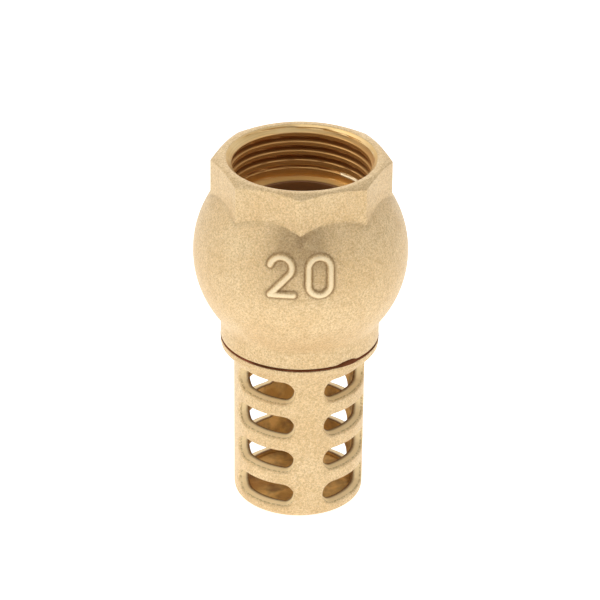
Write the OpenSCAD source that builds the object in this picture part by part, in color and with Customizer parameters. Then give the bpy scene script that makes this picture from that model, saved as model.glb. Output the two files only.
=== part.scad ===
// Foot valve for a pump's suction pipe: a spring-loaded check valve in a round brass body,
// with an internally threaded outlet on top and a slotted strainer screwed in below.
// The origin is the centre of the strainer's flat base, +Z points up to the outlet,
// and one corner of the octagonal outlet collar faces -Y.
// The valve disc and its stem lift by "lift" along +Z when the pump sucks.

/* [Body] */
// Height of the whole valve
valve_h = 65.9; // [64:0.1:68]
// Radius of the round middle of the body
ball_r = 18.8; // [18.2:0.1:20]
// Height of the ball's centre above the base
ball_z = 48.0; // [47.4:0.1:48.6]
// Thickness of the cast wall around the valve chamber
wall = 2.4; // [2:0.1:3]
// Radius of the neck below the ball, and of the strainer's flange
neck_r = 13.95; // [13.6:0.05:14.5]
// Height of the joint between the body and the strainer
joint_z = 31.3; // [30.8:0.1:31.8]

/* [Outlet collar] */
// Distance across the flats of the octagonal collar
collar_flats = 29.2; // [28.8:0.1:31]
// Radius of the flat top face, inside the outer chamfer
top_face_r = 14.1; // [13.6:0.1:14.3]
// Angle of the outer chamfer below the horizontal
top_chamfer_angle = 25; // [15:1:35]

/* [Outlet thread] */
// Radius at the crests of the G 3/4 internal thread
thread_r = 12.06; // [11.9:0.01:12.2]
// Depth of the threaded bore below the top face
thread_depth = 9.7; // [9:0.1:12]
// Size of the 45 degree chamfer at the mouth
mouth_chamfer = 1.08; // [0.5:0.01:1.3]

/* [Size mark] */
// Height of the raised digits
mark_h = 7.8; // [6:0.1:9]
// Width of a digit's stroke
mark_stroke = 1.1; // [0.6:0.05:1.4]
// How far the digits stand out from the ball
mark_relief = 0.5; // [0.2:0.05:0.6]
// Latitude of the mark's centre on the ball
mark_latitude = 12.7; // [8:0.1:16]

/* [Strainer] */
// Outside radius of the strainer below its flange
strainer_r = 11.58; // [11.2:0.01:12]
// Draft: how much smaller the outside radius is at the base
strainer_draft = 0.15; // [0:0.01:0.3]
// Inside radius of the strainer
strainer_bore_r = 9.5; // [9.2:0.05:9.8]
// Thickness of the closed base
floor_t = 2.0; // [1.5:0.1:2.4]
// Radius of the rounded lower edge
base_round = 1.4; // [0.6:0.1:2.4]
// Thickness of the flange under the joint
flange_t = 1.6; // [1.2:0.1:1.8]

/* [Slots] */
// Number of rows of slots, from the top one down
slot_rows = 4; // [1:1:4]
// Number of slots around each row
slots_per_row = 4; // [2:1:5]
// Height of one slot at the outside of the wall
slot_h = 4.3; // [3:0.1:4.8]
// How much each side of a slot closes in towards the inside of the wall
slot_flare = 0.28; // [0:0.02:0.5]
// Distance from one row to the next
slot_pitch = 6.9; // [6.4:0.05:6.95]
// Height of the top row's upper edge
slot_top_z = 27.25; // [27:0.05:27.8]
// Angle that one rib takes between two slots
rib_angle = 26.7; // [15:0.1:32]
// Turn of the first rib from -Y towards +X
rib_turn = 9.85; // [0:0.05:45]

/* [Valve disc and stem] */
// Radius of the water way through the seat
seat_bore_r = 8.0; // [7.6:0.1:8.2]
// Radius of the valve disc
disc_r = 11.0; // [10.6:0.1:11.2]
// Thickness of the rubber disc seal
seal_t = 2.0; // [1.5:0.1:2.2]
// How far the disc lifts from its seat
lift = 5.0; // [3:0.1:5.2]
// Radius of the stem where it slides in its bush
stem_r = 2.5; // [2.2:0.05:2.6]
// Radius of the stem's threaded lower end
stem_thread_r = 1.95; // [1.9:0.01:2]
// Running clearance around the stem in its bush
stem_clearance = 0.06; // [0.03:0.01:0.09]

/* [Closing spring] */
// Radius of the spring at the middle of its wire
spring_r = 4.05; // [3.95:0.05:4.1]
// Diameter of the spring's wire
spring_wire = 0.6; // [0.5:0.05:0.65]
// Number of turns, with one closed turn at each end
spring_turns = 5; // [4.5:0.5:5]

/* [Stem guide] */
// Outside radius of the guide's rim
guide_r = 9.95; // [9.7:0.05:9.95]
// Number of arms that carry the guide's hub
guide_arms = 3; // [3:1:4]
// Thickness of the rim and arms
guide_t = 1.8; // [1.4:0.1:1.9]
// Outside radius of the hub
hub_r = 4.8; // [4.7:0.1:5.2]

/* [Hidden] */

// Overlap that makes two unioned or cut volumes meet cleanly
eps = 0.01;
// Facets of the round surfaces in the preview
round_fn = 96;

// Heights of the joint
gasket_t = 0.4;
gasket_z = joint_z - gasket_t / 2;
flange_top = gasket_z;
neck_z = gasket_z + gasket_t;
screw_r = 12.0;
screw_play = 0.1;

// Heights of the outlet, the guide's seat and the retaining ring's groove
shoulder_z = valve_h - thread_depth;
ring_t = 0.8;
groove_h = 0.9;
groove_depth = 0.6;
guide_bore_r = 10.0;
ledge_r = 9.0;
ledge_z = 50.9;
ledge_t = 1.5;
guide_top = ledge_z + guide_t;
roof_slope = 25;

// Heights of the seat and of the parts on the stem, all at rest on the seat
spigot_top = 36.0;
seat_lip_h = 0.6;
seat_lip_w = 0.9;
seat_z = spigot_top + seat_lip_h;
seat_gap = 0.05;
seal_z = seat_z + seat_gap;
seal_r = disc_r - 0.55;
disc_z = seal_z + seal_t;
disc_t = 1.75;
disc_lip_h = 1.05;
disc_top = disc_z + disc_t;
clamp_r = 7.0;
clamp_t = 1.2;
clamp_z = seal_z - clamp_t;
lock_t = 0.8;
lock_r = 3.6;
lock_z = clamp_z - lock_t;
nut_t = 3.2;
nut_flats = 7.0;
nut_z = lock_z - nut_t;
stem_bottom = nut_z - 0.7;
collar_h = 1.2;
stem_collar_r = 3.2;
stem_top = 54.0;
bolt_play = 0.05;

// Heights of the guide's bush and of the spring under it
hub_z = ledge_z - 1.3;
hub_top = guide_top + 0.4;
bush_r = 3.4;
bush_flange_r = 4.6;
bush_flange_t = 0.5;
bush_z = hub_z - bush_flange_t;
end_play = 0.03;
spring_z = disc_top + end_play;
spring_h = bush_z - end_play - spring_z;

// Slots
slot_end_r = slot_h / 2;
slot_angle = 360 / slots_per_row - rib_angle;
slot_end_angle = asin(slot_end_r / strainer_r);
neck_bore_z = 29.4;
bore_top_z = 27.9;

brass = "#E0C492";
machined_brass = "#D2A95C";
steel = "#C9CCD0";
rubber = "#26262A";
acetal = "#EDEBE2";
sealant = "#6B2A1C";

// A ring of rectangular section
module ring(r_in, r_out, h, z) {
  translate([0, 0, z]) difference() {
    cylinder(r = r_out, h = h, $fn = round_fn);
    translate([0, 0, -1]) cylinder(r = r_in, h = h + 2, $fn = round_fn);
  }
}

// A sector of a flat ring between two angles of less than 180 degrees, in the plane
module arc_stroke(r, w, from, to) {
  reach = 3 * (r + w);
  middle = (from + to) / 2;
  intersection() {
    difference() {
      circle(r = r + w / 2, $fn = 64);
      circle(r = r - w / 2, $fn = 64);
    }
    polygon([
      [0, 0],
      reach * [cos(from), sin(from)],
      reach * [cos(middle), sin(middle)],
      reach * [cos(to), sin(to)]
    ]);
  }
}

// A straight stroke with square ends from point a to point b
module bar_stroke(a, b, w) {
  run = b - a;
  translate(a) rotate(atan2(run[1], run[0])) translate([0, -w / 2]) square([norm(run), w]);
}

// Digit 2, centred, of height h and stroke w
module digit_two(h, w) {
  r = 0.31 * h - w / 2;
  bow = [0, h / 2 - w / 2 - r];
  foot = [-r - w / 2, -h / 2 + w / 2];
  hip = bow + r * [cos(-35), sin(-35)];
  translate(bow) arc_stroke(r, w, -35, 70);
  translate(bow) arc_stroke(r, w, 69, 165);
  bar_stroke(hip + [0, 0.02], foot + [w / 2, 0], w);
  bar_stroke(foot, foot + [2 * r + w, 0], w);
}

// Digit 0, centred, of height h and stroke w
module digit_zero(h, w) {
  r = 0.31 * h - w / 2;
  side = h / 2 - w / 2 - r;
  for (s = [-1, 1]) {
    translate([0, s * side]) arc_stroke(r, w, s * 90 - 90, s * 90 + 1);
    translate([0, s * side]) arc_stroke(r, w, s * 90 - 1, s * 90 + 90);
    bar_stroke([s * r, -side], [s * r, side], w);
  }
}

// Raised nominal size on the front of the ball
module size_mark() {
  spread = 0.42 * mark_h;
  intersection() {
    translate([0, 0, ball_z]) sphere(r = ball_r + mark_relief, $fn = round_fn);
    translate([0, 0, ball_z]) rotate([90 - mark_latitude, 0, 0])
      translate([0, 0, ball_r - 3]) linear_extrude(height = 4) {
        translate([-spread, 0]) digit_two(mark_h, mark_stroke);
        translate([spread, 0]) digit_zero(mark_h, mark_stroke);
      }
  }
}

// Octagonal collar with the turned chamfer around its top
module outlet_collar() {
  chamfer_h = 4;
  chamfer_r = top_face_r + chamfer_h / tan(top_chamfer_angle);
  intersection() {
    translate([0, 0, ball_z]) linear_extrude(height = valve_h - ball_z)
      circle(r = collar_flats / 2 / cos(22.5), $fn = 8);
    union() {
      translate([0, 0, ball_z]) cylinder(r = 25, h = valve_h - chamfer_h - ball_z, $fn = round_fn);
      translate([0, 0, valve_h - chamfer_h])
        cylinder(r1 = chamfer_r, r2 = top_face_r, h = chamfer_h, $fn = round_fn);
    }
  }
}

// Cast chamber around the valve disc, with a conical roof under the outlet
module valve_chamber() {
  roof_h = ball_r;
  roof_z = ledge_z - ledge_t;
  difference() {
    translate([0, 0, ball_z]) sphere(r = ball_r - wall, $fn = round_fn);
    translate([0, 0, roof_z])
      cylinder(r1 = ledge_r, r2 = ledge_r + roof_h / tan(roof_slope), h = roof_h, $fn = round_fn);
  }
}

module upper_body() {
  color(brass) difference() {
    union() {
      outlet_collar();
      translate([0, 0, ball_z]) sphere(r = ball_r, $fn = round_fn);
      translate([0, 0, neck_z]) cylinder(r = neck_r, h = ball_z - neck_z, $fn = round_fn);
      size_mark();
    }
    valve_chamber();
    // Outlet: mouth chamfer, threaded bore, guide seat and its groove
    translate([0, 0, valve_h - mouth_chamfer])
      cylinder(r1 = thread_r, r2 = thread_r + mouth_chamfer, h = mouth_chamfer, $fn = round_fn);
    translate([0, 0, valve_h - eps])
      cylinder(r = thread_r + mouth_chamfer, h = ball_r, $fn = round_fn);
    translate([0, 0, shoulder_z]) cylinder(r = thread_r, h = thread_depth, $fn = round_fn);
    translate([0, 0, ledge_z]) cylinder(r = guide_bore_r, h = thread_depth, $fn = round_fn);
    translate([0, 0, guide_top])
      cylinder(r = guide_bore_r + groove_depth, h = groove_h, $fn = round_fn);
    translate([0, 0, ball_z]) cylinder(r = ledge_r, h = thread_depth, $fn = round_fn);
    // Screwed socket for the strainer, cut right through the bottom of the ball
    translate([0, 0, ball_z - ball_r - 1])
      cylinder(r = screw_r, h = ball_r - 8, $fn = round_fn);
  }
}

module guide_spider() {
  arm_w = 2.4;
  rim_w = 1.4;
  color(machined_brass) difference() {
    union() {
      ring(guide_r - rim_w, guide_r, guide_t, ledge_z);
      translate([0, 0, hub_z]) cylinder(r = hub_r, h = hub_top - hub_z, $fn = round_fn);
      for (i = [0 : guide_arms - 1])
        rotate([0, 0, 90 + i * 360 / guide_arms])
          translate([hub_r - 1, -arm_w / 2, ledge_z])
            cube([guide_r - rim_w - hub_r + 1.5, arm_w, guide_t]);
    }
    translate([0, 0, hub_z - 1]) cylinder(r = bush_r, h = 8, $fn = round_fn);
  }
}

// Internal retaining ring with two eyes for the pliers
module guide_ring() {
  gap = 26;
  ring_w = 1.0;
  out_r = guide_bore_r + groove_depth - 0.1;
  eye_r = 1.1;
  color(steel) translate([0, 0, guide_top + (groove_h - ring_t) / 2]) difference() {
    union() {
      rotate([0, 0, 90 + gap / 2]) rotate_extrude(angle = 360 - gap, $fn = round_fn)
        translate([out_r - ring_w, 0]) square([ring_w, ring_t]);
      for (s = [-1, 1])
        rotate([0, 0, 90 + s * gap / 2]) translate([out_r - eye_r - 0.5, 0, 0])
          cylinder(r = eye_r, h = ring_t, $fn = 32);
    }
    for (s = [-1, 1])
      rotate([0, 0, 90 + s * gap / 2]) translate([out_r - eye_r - 0.5, 0, -1])
        cylinder(r = 0.45, h = 3, $fn = 32);
  }
}

// Flanged plain bearing for the stem
module guide_bush() {
  color(acetal) difference() {
    union() {
      translate([0, 0, bush_z]) cylinder(r = bush_flange_r, h = bush_flange_t, $fn = round_fn);
      translate([0, 0, bush_z]) cylinder(r = bush_r, h = hub_top - bush_z, $fn = round_fn);
    }
    translate([0, 0, bush_z - 1]) cylinder(r = stem_r + stem_clearance, h = 9, $fn = round_fn);
  }
}

// Height of the wire's middle after u turns, between a closed turn at each end
function coil_rise(u) =
  let (
    end_pitch = 1.06 * spring_wire,
    free_pitch = (spring_h - spring_wire - 2 * end_pitch) / (spring_turns - 2)
  )
  spring_wire / 2 + end_pitch * min(u, 1) + free_pitch * min(max(u - 1, 0), spring_turns - 2)
  + end_pitch * max(u - spring_turns + 1, 0);

module closing_spring() {
  steps = 24;
  sides = 8;
  rings = steps * spring_turns;
  points = [
    for (i = [0 : rings], k = [0 : sides - 1])
      let (turn = 360 * i / steps, a = 360 * k / sides, r = spring_r + spring_wire / 2 * cos(a))
      [r * cos(turn), r * sin(turn), spring_z + coil_rise(i / steps) + spring_wire / 2 * sin(a)]
  ];
  sleeve = [
    for (i = [0 : rings - 1], k = [0 : sides - 1])
      let (next = (k + 1) % sides, low = i * sides, high = low + sides)
      [low + k, high + k, high + next, low + next]
  ];
  start_cap = [[for (k = [0 : sides - 1]) k]];
  end_cap = [[for (k = [sides - 1 : -1 : 0]) rings * sides + k]];
  color(steel) polyhedron(points, concat(sleeve, start_cap, end_cap));
}

module valve_stem() {
  tip = 0.5;
  color(steel) union() {
    translate([0, 0, stem_bottom])
      cylinder(r1 = stem_thread_r - tip, r2 = stem_thread_r, h = tip, $fn = round_fn);
    translate([0, 0, stem_bottom + tip])
      cylinder(r = stem_thread_r, h = disc_top - stem_bottom - tip + eps, $fn = round_fn);
    translate([0, 0, disc_top]) cylinder(r = stem_collar_r, h = collar_h, $fn = round_fn);
    translate([0, 0, disc_top]) cylinder(r = stem_r, h = stem_top - tip - disc_top, $fn = round_fn);
    translate([0, 0, stem_top - tip])
      cylinder(r1 = stem_r, r2 = stem_r - tip, h = tip, $fn = round_fn);
  }
}

// Disc with a lip around its underside that holds the seal
module valve_disc() {
  color(machined_brass) {
    ring(stem_thread_r + bolt_play, disc_r, disc_t, disc_z);
    ring(seal_r + 0.05, disc_r, disc_lip_h + eps, disc_z - disc_lip_h);
  }
}

module disc_seal() {
  color(rubber) ring(stem_thread_r + bolt_play, seal_r, seal_t, seal_z);
}

module seal_clamp() {
  color(machined_brass) ring(stem_thread_r + bolt_play, clamp_r, clamp_t, clamp_z);
}

// Split spring washer
module lock_washer() {
  split = 0.7;
  color(steel) difference() {
    ring(stem_thread_r + 0.15, lock_r, lock_t, lock_z);
    translate([0, -split / 2, lock_z - 1]) cube([lock_r + 1, split, lock_t + 2]);
  }
}

module stem_nut() {
  color(steel) difference() {
    translate([0, 0, nut_z]) cylinder(r = nut_flats / 2 / cos(30), h = nut_t, $fn = 6);
    translate([0, 0, nut_z - 1])
      cylinder(r = stem_thread_r + bolt_play, h = nut_t + 2, $fn = round_fn);
  }
}

module joint_gasket() {
  color(sealant) ring(screw_r + 0.05, neck_r - 0.05, gasket_t, gasket_z);
}

// Seat lip that the disc seal closes on
module seat_lip() {
  translate([0, 0, spigot_top - eps])
    cylinder(
      r1 = seat_bore_r + seat_lip_w + seat_lip_h,
      r2 = seat_bore_r + seat_lip_w,
      h = seat_lip_h + eps,
      $fn = round_fn
    );
}

// Solid outline of the strainer: rounded base, drafted wall, flange and screwed spigot
module strainer_outline() {
  base_r = strainer_r - strainer_draft;
  flange_z = flange_top - flange_t;
  rotate_extrude($fn = round_fn) {
    translate([base_r - base_round, base_round]) circle(r = base_round, $fn = 64);
    square([base_r - base_round, 2 * base_round]);
    polygon([
      [0, base_round],
      [base_r, base_round],
      [strainer_r, flange_z + eps],
      [0, flange_z + eps]
    ]);
  }
  translate([0, 0, flange_z]) cylinder(r = neck_r, h = flange_t, $fn = round_fn);
  translate([0, 0, flange_z])
    cylinder(r = screw_r - screw_play, h = spigot_top - flange_z, $fn = round_fn);
  seat_lip();
}

// Cutter for one slot with round ends that opens outward, centred on the angle turn and height z
module slot_cutter(turn, z) {
  straight = slot_angle - 2 * slot_end_angle;
  start_r = seat_bore_r;
  reach_r = neck_r + 1;
  slope = slot_flare / (strainer_r - strainer_bore_r);
  start_h = slot_end_r - slope * (strainer_r - start_r);
  reach_h = slot_end_r + slope * (reach_r - strainer_r);
  rotate([0, 0, turn]) translate([0, 0, z]) {
    rotate([0, 0, -straight / 2]) rotate_extrude(angle = straight, $fn = round_fn)
      polygon([[start_r, -start_h], [reach_r, -reach_h], [reach_r, reach_h], [start_r, start_h]]);
    for (s = [-1, 1])
      rotate([0, 0, s * straight / 2]) translate([start_r, 0, 0]) rotate([0, 90, 0])
        cylinder(r1 = start_h, r2 = reach_h, h = reach_r - start_r, $fn = 48);
  }
}

module strainer() {
  first_slot = -90 + rib_turn + 180 / slots_per_row;
  color(brass) difference() {
    strainer_outline();
    translate([0, 0, floor_t]) cylinder(r = strainer_bore_r, h = bore_top_z - floor_t, $fn = round_fn);
    translate([0, 0, bore_top_z])
      cylinder(r1 = strainer_bore_r, r2 = seat_bore_r, h = neck_bore_z - bore_top_z, $fn = round_fn);
    translate([0, 0, bore_top_z]) cylinder(r = seat_bore_r, h = 12, $fn = round_fn);
    for (row = [0 : slot_rows - 1], i = [0 : slots_per_row - 1])
      slot_cutter(
        first_slot + i * 360 / slots_per_row,
        slot_top_z - slot_end_r - row * slot_pitch
      );
  }
}

upper_body();
guide_spider();
guide_ring();
guide_bush();
closing_spring();
valve_stem();
valve_disc();
disc_seal();
seal_clamp();
lock_washer();
stem_nut();
joint_gasket();
strainer();
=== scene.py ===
"""Looks of a brass foot valve: cast body and strainer, turned outlet thread and the parts inside."""
from math import acos, asin, atan2, copysign, cos, degrees, hypot, pi, radians, sin, sqrt, tan

import bmesh
import bpy
from mathutils import Matrix, Vector, noise


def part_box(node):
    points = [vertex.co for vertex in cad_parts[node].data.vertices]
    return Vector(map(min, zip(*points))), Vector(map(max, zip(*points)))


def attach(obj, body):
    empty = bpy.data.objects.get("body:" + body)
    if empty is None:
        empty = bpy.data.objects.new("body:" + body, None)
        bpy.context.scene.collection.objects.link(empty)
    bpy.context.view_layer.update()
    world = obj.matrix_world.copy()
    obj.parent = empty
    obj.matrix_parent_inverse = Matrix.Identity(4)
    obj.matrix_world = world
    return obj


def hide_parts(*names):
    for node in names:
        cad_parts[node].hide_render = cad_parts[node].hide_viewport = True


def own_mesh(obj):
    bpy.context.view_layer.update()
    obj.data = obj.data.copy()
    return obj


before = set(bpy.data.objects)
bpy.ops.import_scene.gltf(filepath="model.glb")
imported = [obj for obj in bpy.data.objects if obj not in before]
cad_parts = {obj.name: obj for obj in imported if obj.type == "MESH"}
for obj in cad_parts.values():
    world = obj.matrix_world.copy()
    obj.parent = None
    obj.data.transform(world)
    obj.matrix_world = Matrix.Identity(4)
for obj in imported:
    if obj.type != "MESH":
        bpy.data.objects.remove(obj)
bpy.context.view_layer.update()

# Lengths below are in millimetres; mesh_piece() turns them into metres.
MM = 0.001
TAU = 2 * pi


def node_box(name):
    """Lowest and highest corner of a CAD node, in millimetres."""
    low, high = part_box(name)
    return Vector(low) / MM, Vector(high) / MM


# ---- sizes read from the frame

body_low, body_high = node_box("upper_body")
strainer_high = node_box("strainer")[1]
gasket_low, gasket_high = node_box("joint_gasket")
spider_low, spider_high = node_box("guide_spider")
ring_low = node_box("guide_ring")[0]
bush_low, bush_high = node_box("guide_bush")
spring_low, spring_high = node_box("closing_spring")
stem_low, stem_high = node_box("valve_stem")
disc_low, disc_high = node_box("valve_disc")
seal_low, seal_high = node_box("disc_seal")
clamp_low, clamp_high = node_box("seal_clamp")
lock_low, lock_high = node_box("lock_washer")
nut_low, nut_high = node_box("stem_nut")
bush_high_r = 3.4
stem_r = 2.5
stem_thread_r = 1.95
thread_hole_r = stem_thread_r + 0.05

top_z = body_high.z
neck_z = body_low.z
ball_r = body_high.x
neck_r = strainer_high.x
flange_top = gasket_low.z
spigot_z = strainer_high.z

# ---- sizes of the casting's details

ball_z = 48.0
wall = 2.4
collar_apothem = 14.6
collar_corner_round = 0.5
top_face_r = 14.1
top_chamfer = radians(25)
thread_crest_r = 12.06
thread_pitch = 1.814
thread_height = 0.95
thread_root_half = 0.56
thread_phase = 0.26
thread_depth = 9.7
thread_full_z = 59.9
mouth_chamfer = 1.08
guide_bore_r = 10.0
groove_r = 10.6
groove_top = 53.6
ledge_r = 9.0
ledge_z = spider_low.z + 1.3
ledge_t = 1.5
roof_slope = radians(25)
socket_r = 12.0

mark_latitude = radians(12.7)
mark_height = 7.8
mark_stroke = 1.1
mark_relief = 0.5

strainer_r = 11.58
strainer_base_r = 11.43
strainer_bore_r = 9.5
seat_bore_r = 8.0
floor_t = 2.0
base_round = 1.4
flange_t = 1.6
slot_rows = 4
slots_per_row = 4
slot_height = 4.3
slot_flare = 0.28
slot_pitch = 6.9
slot_top_z = 27.25
rib_angle = radians(26.7)
rib_turn = radians(9.85)


# ---- mesh tools


def around(r, angle, z):
    """The point at radius r, this angle about the axis and height z."""
    return (r * cos(angle), r * sin(angle), z)


def add_object(name, data):
    """A new object in the scene, holding a mesh, lamp or camera."""
    thing = bpy.data.objects.new(name, data)
    bpy.context.scene.collection.objects.link(thing)
    return thing


def merge_points(mesh):
    """Joins points that lie on one another, such as those on the axis, and turns all faces outward."""
    whole = bmesh.new()
    whole.from_mesh(mesh)
    bmesh.ops.remove_doubles(whole, verts=whole.verts, dist=0.004 * MM)
    bmesh.ops.dissolve_degenerate(whole, edges=whole.edges, dist=0.001 * MM)
    bmesh.ops.recalc_face_normals(whole, faces=whole.faces)
    whole.to_mesh(mesh)
    whole.free()


def mesh_piece(name, points, faces, body, replaced, materials, face_materials=None, painted_light_and_tarnish=None):
    """A piece from points in millimetres, riding on a body in place of the CAD nodes it replaces."""
    mesh = bpy.data.meshes.new(name)
    mesh.from_pydata([Vector(p) * MM for p in points], [], faces)
    for material in materials:
        mesh.materials.append(material)
    if face_materials:
        mesh.polygons.foreach_set("material_index", face_materials)
    # An optional point attribute: painted shade (with some tarnishing) above zero, a painted highlight
    # below zero.
    if painted_light_and_tarnish:
        mesh.attributes.new("painted_light_and_tarnish", "FLOAT", "POINT").data.foreach_set("value", painted_light_and_tarnish)
    merge_points(mesh)
    mesh.polygons.foreach_set("use_smooth", [True] * len(mesh.polygons))
    mesh.set_sharp_from_angle(angle=radians(50))
    piece = add_object(name, mesh)
    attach(piece, body)
    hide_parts(*replaced)
    return piece


def rounded_outline(corners, steps=4):
    """A closed outline (r, z) from corners (r, z, rounding), each corner turned by an arc."""
    outline = []
    count = len(corners)
    for i, (r, z, rounding) in enumerate(corners):
        here = Vector((r, z))
        if rounding <= 0:
            outline.append((r, z))
            continue
        before = (Vector(corners[i - 1][:2]) - here).normalized()
        after = (Vector(corners[(i + 1) % count][:2]) - here).normalized()
        half = before.angle(after) / 2
        reach = rounding / tan(half)
        centre = here + (before + after).normalized() * (rounding / sin(half))
        start = here + before * reach - centre
        end = here + after * reach - centre
        sweep = atan2(start.x * end.y - start.y * end.x, start.dot(end))
        for k in range(steps + 1):
            turned = start.copy()
            turned.rotate(Matrix.Rotation(sweep * k / steps, 2))
            outline.append(tuple(centre + turned))
    return outline


def lathe_mesh(angles, outline_at):
    """Points and faces of a closed outline carried right round the axis through the given angles."""
    outlines = [outline_at(a) for a in angles]
    rows = len(outlines[0])
    points = [around(r, a, z) for a, line in zip(angles, outlines) for r, z in line]
    faces = []
    for i in range(len(angles)):
        here, there = i * rows, (i + 1) % len(angles) * rows
        for j in range(rows):
            k = (j + 1) % rows
            faces.append((here + j, there + j, there + k, here + k))
    return points, faces


def even_angles(count):
    return [TAU * i / count for i in range(count)]


def lathe_piece(name, corners, body, replaced, material, count=128):
    """A turned piece from the corners of half its section."""
    outline = rounded_outline(corners)
    points, faces = lathe_mesh(even_angles(count), lambda angle: outline)
    mesh_piece(name, points, faces, body, replaced, [material])


def spaced(start, end, step):
    """Values from start up to but not including end, about step apart."""
    count = max(1, round(abs(end - start) / step))
    return [start + (end - start) * i / count for i in range(count)]


def smooth_max(a, b, width):
    """The larger of two lengths, with a fillet of about that width where they meet."""
    overlap = max(width - abs(a - b), 0)
    return max(a, b) + overlap * overlap / (4 * width)


def smooth_step(x):
    x = min(max(x, 0), 1)
    return x * x * (3 - 2 * x)


# ---- material tools

# Depth of the fine tool lines and other fine relief, in metres.
tool_lines = 0.00001


class Nodes:
    """Short hand for building the node tree of one material or of the world."""

    def __init__(self, owner):
        owner.use_nodes = True
        self.owner = owner
        self.tree = owner.node_tree
        places = self.tree.nodes.new("ShaderNodeTexCoord").outputs
        self.place = places["Object"]
        self.direction = places["Generated"]

    def add(self, kind, settings=None, **inputs):
        node = self.tree.nodes.new("ShaderNode" + kind)
        for key, value in (settings or {}).items():
            setattr(node, key, value)
        for key, value in inputs.items():
            self.feed(node.inputs[key.replace("_", " ")], value)
        return node

    def feed(self, socket, value):
        if isinstance(value, bpy.types.NodeSocket):
            self.tree.links.new(value, socket)
        else:
            socket.default_value = value

    def noise(self, scale, detail=2, vector=None, roughness=0.5):
        """Noise whose patches are about 1/scale metres across."""
        node = self.add(
            "TexNoise", Vector=vector or self.place, Scale=scale, Detail=detail, Roughness=roughness
        )
        return node.outputs["Fac"]

    def math(self, operation, a, b=0.0, clamp=False):
        node = self.tree.nodes.new("ShaderNodeMath")
        node.operation = operation
        node.use_clamp = clamp
        self.feed(node.inputs[0], a)
        self.feed(node.inputs[1], b)
        return node.outputs[0]

    def times(self, first, *others):
        """Product of two or more values."""
        for other in others:
            first = self.math("MULTIPLY", first, other)
        return first

    def spread(self, value, low, high, to_low=0.0, to_high=1.0):
        """Value from low to high stretched to the range to_low to to_high."""
        node = self.tree.nodes.new("ShaderNodeMapRange")
        for key, number in zip(range(5), (value, low, high, to_low, to_high)):
            self.feed(node.inputs[key], number)
        return node.outputs[0]

    def zone(self, length, low, high, to_low=0.0, to_high=1.0):
        """Length from low to high, both in millimetres, stretched to the range to_low to to_high."""
        return self.spread(length, low * MM, high * MM, to_low, to_high)

    def mix(self, share, a, b):
        node = self.tree.nodes.new("ShaderNodeMix")
        node.data_type = "RGBA"
        self.feed(node.inputs[0], share)
        self.feed(node.inputs[6], a)
        self.feed(node.inputs[7], b)
        return node.outputs[2]

    def bump(self, height, strength, depth, normal=None):
        node = self.add("Bump", Strength=strength, Distance=depth, Height=height)
        if normal:
            self.feed(node.inputs["Normal"], normal)
        return node.outputs["Normal"]

    def from_axis(self):
        """Distance from the valve's axis and height, both in metres."""
        x, y, z = self.add("SeparateXYZ", Vector=self.place).outputs
        square = self.math("ADD", self.times(x, x), self.times(y, y))
        return self.math("SQRT", square), z

    def around_axis(self, scale):
        """Coordinates that change only with the distance from the axis and along it."""
        r, z = self.from_axis()
        node = self.add("CombineXYZ", X=self.times(r, scale), Z=self.times(z, scale))
        return node.outputs[0]

    def finish(self, shader="Principled BSDF", **inputs):
        for key, value in inputs.items():
            self.feed(self.tree.nodes[shader].inputs[key.replace("_", " ")], value)
        return self.owner

    def finish_fine(self, tone, relief, rough, strength, depth, **inputs):
        """Finishes a material whose roughness and bump follow the same fine pattern."""
        return self.finish(
            Base_Color=tone,
            Roughness=self.spread(relief, 0.3, 0.7, *rough),
            Normal=self.bump(relief, strength, depth),
            **inputs,
        )


def material_nodes(name):
    return Nodes(bpy.data.materials.new(name))


def colour(red, green, blue):
    return (red, green, blue, 1.0)


def strainer_inside(n, tone, metal, rough, grain):
    """Colour, metal and roughness where the strainer isn't blasted: stained, with dark slot edges and
    slot walls made paler as painted light.
    """
    r, z = n.from_axis()
    bore = strainer_bore_r
    above = n.zone(z, floor_t - 0.25, floor_t - 0.05)
    patch = n.spread(n.noise(260, 3), 0.38, 0.6)
    as_cast = n.mix(patch, colour(0.60, 0.33, 0.075), colour(0.92, 0.60, 0.2))
    stain = n.spread(n.noise(330, 3), 0.44, 0.66, 0.0, 0.6)
    as_cast = n.mix(stain, as_cast, colour(0.14, 0.06, 0.015))
    inside = n.times(n.zone(r, bore + 0.5, bore + 0.1), above)
    wall_cut = n.times(n.zone(r, bore + 1.85, bore + 1.65), above)
    edge = n.zone(r, bore + 0.02, bore + 0.1)
    edge = n.times(edge, n.zone(r, bore + 0.8, bore + 0.35))
    edge = n.times(edge, n.spread(grain, 0.3, 0.55, 0.7, 0.97))
    lower_lip = n.times(n.zone(r, bore + 1.4, bore + 1.6), wall_cut)
    lower_lip = n.times(lower_lip, n.spread(n.noise(2600, 2), 0.4, 0.56, 0.1, 0.8))
    row_start = slot_top_z - slot_height - 1
    row = n.math("FRACT", n.zone(z, row_start, row_start + slot_pitch))
    lower_lip = n.times(lower_lip, n.spread(row, 0.42, 0.28))
    # Painted light: the slots' cut walls are paler, as if lit from above.
    tone = n.mix(n.times(wall_cut, 0.9), tone, colour(1.0, 0.80, 0.46))
    tone = n.mix(lower_lip, tone, colour(0.36, 0.24, 0.09))
    tone = n.mix(inside, tone, as_cast)
    tone = n.mix(n.times(edge, above), tone, colour(0.19, 0.085, 0.016))
    metal = n.spread(wall_cut, 0.0, 1.0, metal, 0.1)
    rough = n.spread(wall_cut, 0.0, 1.0, rough, 0.7)
    return tone, metal, rough


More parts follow.
